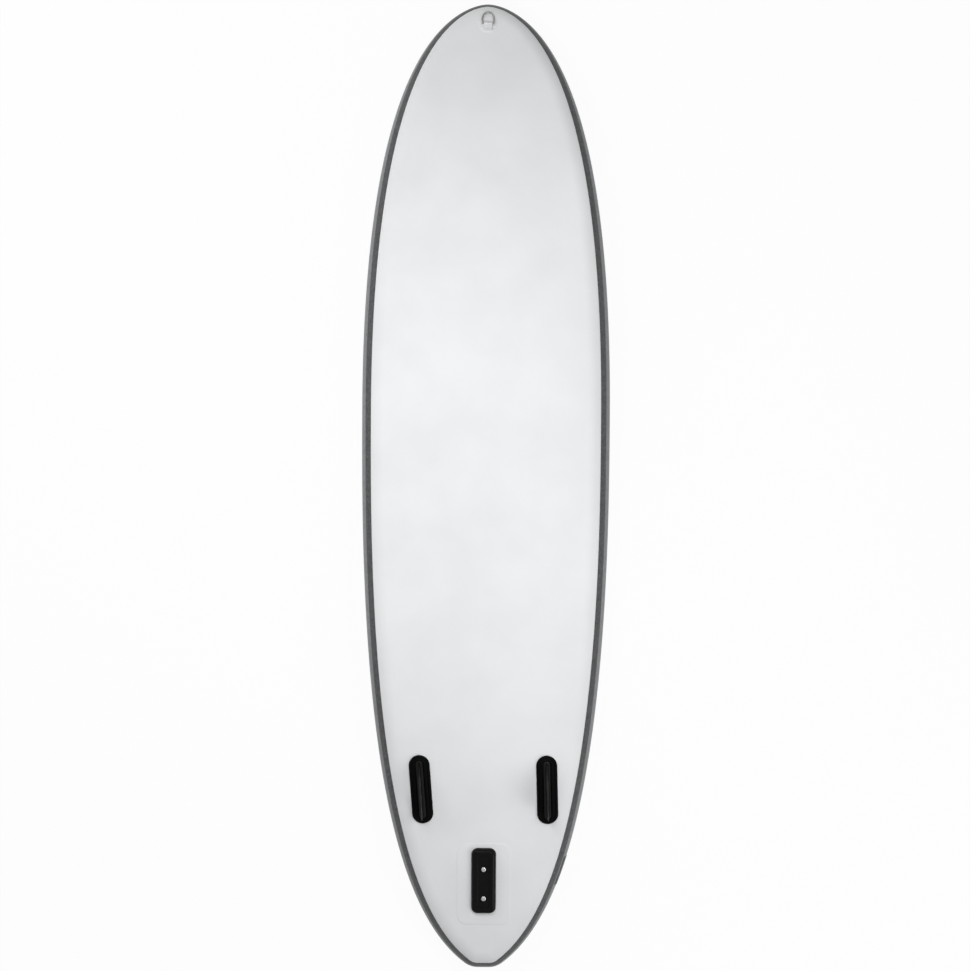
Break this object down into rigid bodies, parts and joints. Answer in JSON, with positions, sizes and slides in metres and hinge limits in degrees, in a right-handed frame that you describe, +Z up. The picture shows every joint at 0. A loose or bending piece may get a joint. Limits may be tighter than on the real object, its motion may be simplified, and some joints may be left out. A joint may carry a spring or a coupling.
{
  "type": "stand-up paddle board",
  "caption": "Inflatable stand-up paddle board, lying deck down, with round rails, side fins, a centre fin box, D-rings, a carry handle, a foam deck pad and an air valve.",
  "frame": {"origin": "the middle of the floor under the board, which lies deck down on its upturned nose and tail", "axes": "+Y to the nose, +Z up out of the board's bottom, +X to the right of the bottom seen from above with the nose away. To ride it, turn the board half a turn about +Y, so the deck is up."},
  "size_m": [0.813, 3.1992, 0.3214],
  "materials": {
    "white_pvc": "satin",
    "grey_pvc": "satin",
    "rail_pvc": "satin",
    "tape_pvc": "satin",
    "thread": "matte",
    "foam": "matte",
    "white_webbing": "matte",
    "black_webbing": "matte",
    "black_rubber": "satin",
    "seal_rubber": "matte",
    "fin_plastic": "satin",
    "black_plastic": "satin",
    "pale_plastic": "matte",
    "brass": "satin",
    "steel": "polished"
  },
  "bodies": {
    "root": {"bottom_seam_tape": "tape_pvc", "bottom_skin": "white_pvc", "cargo_ring_front_left_loop": "black_webbing", "cargo_ring_front_left_patch": "grey_pvc", "cargo_ring_front_right_loop": "black_webbing", "cargo_ring_front_right_patch": "grey_pvc", "cargo_ring_rear_left_loop": "black_webbing", "cargo_ring_rear_left_patch": "grey_pvc", "cargo_ring_rear_right_loop": "black_webbing", "cargo_ring_rear_right_patch": "grey_pvc", "deck_pad_front": "foam", "deck_pad_left": "foam", "deck_pad_rear": "foam", "deck_pad_right": "foam", "deck_seam_tape": "tape_pvc", "deck_skin": "white_pvc", "drop_thread_row_1": "thread", "drop_thread_row_2": "thread", "drop_thread_row_3": "thread", "drop_thread_row_4": "thread", "drop_thread_row_5": "thread", "drop_thread_row_6": "thread", "drop_thread_row_7": "thread", "drop_thread_row_8": "thread", "fin_box": "black_plastic", "fin_box_patch": "white_pvc", "fin_insert_front": "brass", "fin_insert_rear": "brass", "fin_screw_front": "steel", "fin_screw_rear": "steel", "handle_grip": "black_rubber", "handle_patch_front": "grey_pvc", "handle_patch_rear": "grey_pvc", "handle_webbing": "black_webbing", "leash_ring_loop": "black_webbing", "leash_ring_patch": "grey_pvc", "nose_ring_loop": "white_webbing", "nose_ring_patch": "white_pvc", "rail_splice_patch": "tape_pvc", "rail_wall": "rail_pvc", "side_fin_left": "fin_plastic", "side_fin_pad_left": "black_rubber", "side_fin_pad_right": "black_rubber", "side_fin_right": "fin_plastic", "valve_back_nut": "black_plastic", "valve_body": "black_plastic", "valve_gasket": "seal_rubber", "valve_spring": "steel"},
    "nose_ring": {"nose_ring": "steel"},
    "leash_ring": {"leash_ring": "steel"},
    "cargo_ring_rear_left": {"cargo_ring_rear_left": "steel"},
    "cargo_ring_rear_right": {"cargo_ring_rear_right": "steel"},
    "cargo_ring_front_left": {"cargo_ring_front_left": "steel"},
    "cargo_ring_front_right": {"cargo_ring_front_right": "steel"},
    "valve_stem": {"valve_stem": "pale_plastic", "valve_seal": "seal_rubber"},
    "valve_cap": {"valve_cap": "black_plastic", "valve_cap_seal": "seal_rubber"}
  },
  "joints": [
    {"name": "nose_ring_hinge", "type": "hinge", "parent": "root", "child": "nose_ring", "pos_m": [0, 1.5224, 0.1627], "axis": [1, 0, 0], "range_deg": [0, 165]},
    {"name": "leash_ring_hinge", "type": "hinge", "parent": "root", "child": "leash_ring", "pos_m": [0, -1.29072, 0.02376], "axis": [1, 0, 0], "range_deg": [-75, 75]},
    {"name": "cargo_ring_rear_left_hinge", "type": "hinge", "parent": "root", "child": "cargo_ring_rear_left", "pos_m": [-0.22822, 0.79763, 0.11424], "axis": [1, 0, 0], "range_deg": [-75, 75]},
    {"name": "cargo_ring_rear_right_hinge", "type": "hinge", "parent": "root", "child": "cargo_ring_rear_right", "pos_m": [0.22822, 0.79763, 0.11424], "axis": [1, 0, 0], "range_deg": [-75, 75]},
    {"name": "cargo_ring_front_left_hinge", "type": "hinge", "parent": "root", "child": "cargo_ring_front_left", "pos_m": [-0.16258, 1.157, 0.08209], "axis": [1, 0, 0], "range_deg": [-75, 75]},
    {"name": "cargo_ring_front_right_hinge", "type": "hinge", "parent": "root", "child": "cargo_ring_front_right", "pos_m": [0.16258, 1.157, 0.08209], "axis": [1, 0, 0], "range_deg": [-75, 75]},
    {"name": "valve_stem_slide", "type": "slide", "parent": "root", "child": "valve_stem", "axis": [0, -0.0874, 0.9962], "range_m": [0, 0.006], "stiffness_N_per_m": 900, "deforming": ["valve_spring"]},
    {"name": "valve_cap_slide", "type": "slide", "parent": "root", "child": "valve_cap", "axis": [0, 0.0874, -0.9962], "range_m": [0, 0.02]}
  ]
}
